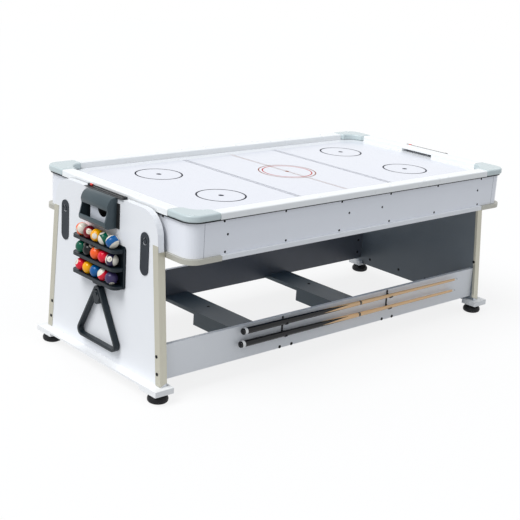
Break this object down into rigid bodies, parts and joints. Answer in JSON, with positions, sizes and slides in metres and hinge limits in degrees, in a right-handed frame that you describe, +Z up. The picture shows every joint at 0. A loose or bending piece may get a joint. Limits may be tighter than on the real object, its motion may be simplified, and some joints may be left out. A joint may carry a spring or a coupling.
{
  "type": "multi game table",
  "caption": "Long white games table with air hockey on top and pool underneath, turning over between two end legs, with cues, balls and triangle stored on the frame.",
  "frame": {"origin": "on the floor, under the middle of the table", "axes": "+X along the table towards the right leg, +Y towards the back, away from the cues, +Z up"},
  "size_m": [2.2246, 1.092, 0.8185],
  "materials": {
    "white_board": "white laminate on board, half gloss",
    "grey_board": "dark grey laminate on board, satin",
    "play_surface": "smooth coated playing board with printed lines",
    "pale_plastic": "moulded plastic, glossy",
    "champagne_metal": "champagne satin",
    "black_plastic": "moulded plastic, satin",
    "black_steel": "black painted steel",
    "bright_steel": "plain steel",
    "red_plastic": "moulded plastic, glossy",
    "pool_cloth": "board under blue cloth",
    "cue_maple": "lacquered maple",
    "ball_resin": "polished resin"
  },
  "bodies": {
    "stand": {"left_leg_panel": "white_board", "left_base_board": "white_board", "left_cross_beam": "grey_board", "left_pivot_bearing": "black_steel", "left_cue_clip": "black_steel", "left_goal_box": "black_plastic", "right_leg_panel": "white_board", "right_base_board": "white_board", "right_cross_beam": "grey_board", "right_pivot_bearing": "black_steel", "right_cue_clip": "black_steel", "right_goal_box": "black_plastic", "left_front_trim": "champagne_metal", "left_front_lock_plate": "black_plastic", "left_back_trim": "champagne_metal", "left_back_lock_plate": "black_plastic", "right_front_trim": "champagne_metal", "right_front_lock_plate": "black_plastic", "right_back_trim": "champagne_metal", "right_back_lock_plate": "black_plastic", "front_stretcher": "white_board", "back_stretcher": "grey_board", "ball_rack": "black_plastic"},
    "top": {"hockey_playfield": "play_surface", "hockey_rail_frame": "white_board", "pool_bed": "pool_cloth", "pool_rail_frame": "white_board", "blower_housing": "black_plastic", "front_apron": "white_board", "back_apron": "white_board", "left_apron": "white_board", "right_apron": "white_board", "left_pivot_shaft": "bright_steel", "right_pivot_shaft": "bright_steel", "left_front_corner_cap": "pale_plastic", "left_front_corner_casting": "champagne_metal", "left_back_corner_cap": "pale_plastic", "left_back_corner_casting": "champagne_metal", "right_front_corner_cap": "pale_plastic", "right_front_corner_casting": "champagne_metal", "right_back_corner_cap": "pale_plastic", "right_back_corner_casting": "champagne_metal"},
    "left_front_lock_pin": {"left_front_lock_pin": "bright_steel"},
    "left_front_foot": {"left_front_foot": "black_plastic"},
    "left_back_lock_pin": {"left_back_lock_pin": "bright_steel"},
    "left_back_foot": {"left_back_foot": "black_plastic"},
    "right_front_lock_pin": {"right_front_lock_pin": "bright_steel"},
    "right_front_foot": {"right_front_foot": "black_plastic"},
    "right_back_lock_pin": {"right_back_lock_pin": "bright_steel"},
    "right_back_foot": {"right_back_foot": "black_plastic"},
    "left_score_bead": {"left_score_bead": "red_plastic"},
    "right_score_bead": {"right_score_bead": "red_plastic"},
    "upper_cue": {"upper_cue": "cue_maple"},
    "lower_cue": {"lower_cue": "cue_maple"},
    "upper_balls": {"upper_balls": "ball_resin"},
    "middle_balls": {"middle_balls": "ball_resin"},
    "lower_balls": {"lower_balls": "ball_resin"},
    "ball_triangle": {"ball_triangle": "black_plastic"},
    "blower_impeller": {"blower_impeller": "bright_steel"},
    "rocker_switch": {"rocker_switch": "red_plastic"}
  },
  "joints": [
    {"name": "top_flip", "type": "hinge", "parent": "stand", "child": "top", "pos_m": [0, 0, 0.7175], "axis": [1, 0, 0], "range_deg": [0, 180]},
    {"name": "left_front_lock", "type": "slide", "parent": "stand", "child": "left_front_lock_pin", "axis": [1, 0, 0], "range_m": [0, 0.014]},
    {"name": "left_back_lock", "type": "slide", "parent": "stand", "child": "left_back_lock_pin", "axis": [1, 0, 0], "range_m": [0, 0.014]},
    {"name": "right_front_lock", "type": "slide", "parent": "stand", "child": "right_front_lock_pin", "axis": [-1, 0, 0], "range_m": [0, 0.014]},
    {"name": "right_back_lock", "type": "slide", "parent": "stand", "child": "right_back_lock_pin", "axis": [-1, 0, 0], "range_m": [0, 0.014]},
    {"name": "left_front_level", "type": "slide", "parent": "stand", "child": "left_front_foot", "axis": [0, 0, -1], "range_m": [0, 0.012]},
    {"name": "left_back_level", "type": "slide", "parent": "stand", "child": "left_back_foot", "axis": [0, 0, -1], "range_m": [0, 0.012]},
    {"name": "right_front_level", "type": "slide", "parent": "stand", "child": "right_front_foot", "axis": [0, 0, -1], "range_m": [0, 0.012]},
    {"name": "right_back_level", "type": "slide", "parent": "stand", "child": "right_back_foot", "axis": [0, 0, -1], "range_m": [0, 0.012]},
    {"name": "left_score", "type": "slide", "parent": "stand", "child": "left_score_bead", "axis": [0, -1, 0], "range_m": [0, 0.233]},
    {"name": "right_score", "type": "slide", "parent": "stand", "child": "right_score_bead", "axis": [0, -1, 0], "range_m": [0, 0.233]},
    {"name": "blower_spin", "type": "hinge", "parent": "top", "child": "blower_impeller", "pos_m": [0.5, 0.48, 0.72475], "axis": [0, 1, 0], "continuous": true},
    {"name": "rocker_tilt", "type": "hinge", "parent": "top", "child": "rocker_switch", "pos_m": [0.396, 0.5273, 0.72475], "axis": [1, 0, 0], "range_deg": [-16, 0]},
    {"name": "upper_cue_lift", "type": "slide", "parent": "stand", "child": "upper_cue", "axis": [0, -0.6428, 0.766], "range_m": [0, 0.1]},
    {"name": "lower_cue_lift", "type": "slide", "parent": "stand", "child": "lower_cue", "axis": [0, -0.6428, 0.766], "range_m": [0, 0.1]},
    {"name": "upper_balls_lift", "type": "slide", "parent": "stand", "child": "upper_balls", "axis": [-0.9455, 0, 0.3256], "range_m": [0, 0.1]},
    {"name": "middle_balls_lift", "type": "slide", "parent": "stand", "child": "middle_balls", "axis": [-0.9455, 0, 0.3256], "range_m": [0, 0.1]},
    {"name": "lower_balls_lift", "type": "slide", "parent": "stand", "child": "lower_balls", "axis": [-0.9455, 0, 0.3256], "range_m": [0, 0.1]},
    {"name": "triangle_lift", "type": "slide", "parent": "stand", "child": "ball_triangle", "axis": [-0.9945, 0, 0.1045], "range_m": [0, 0.08]}
  ]
}
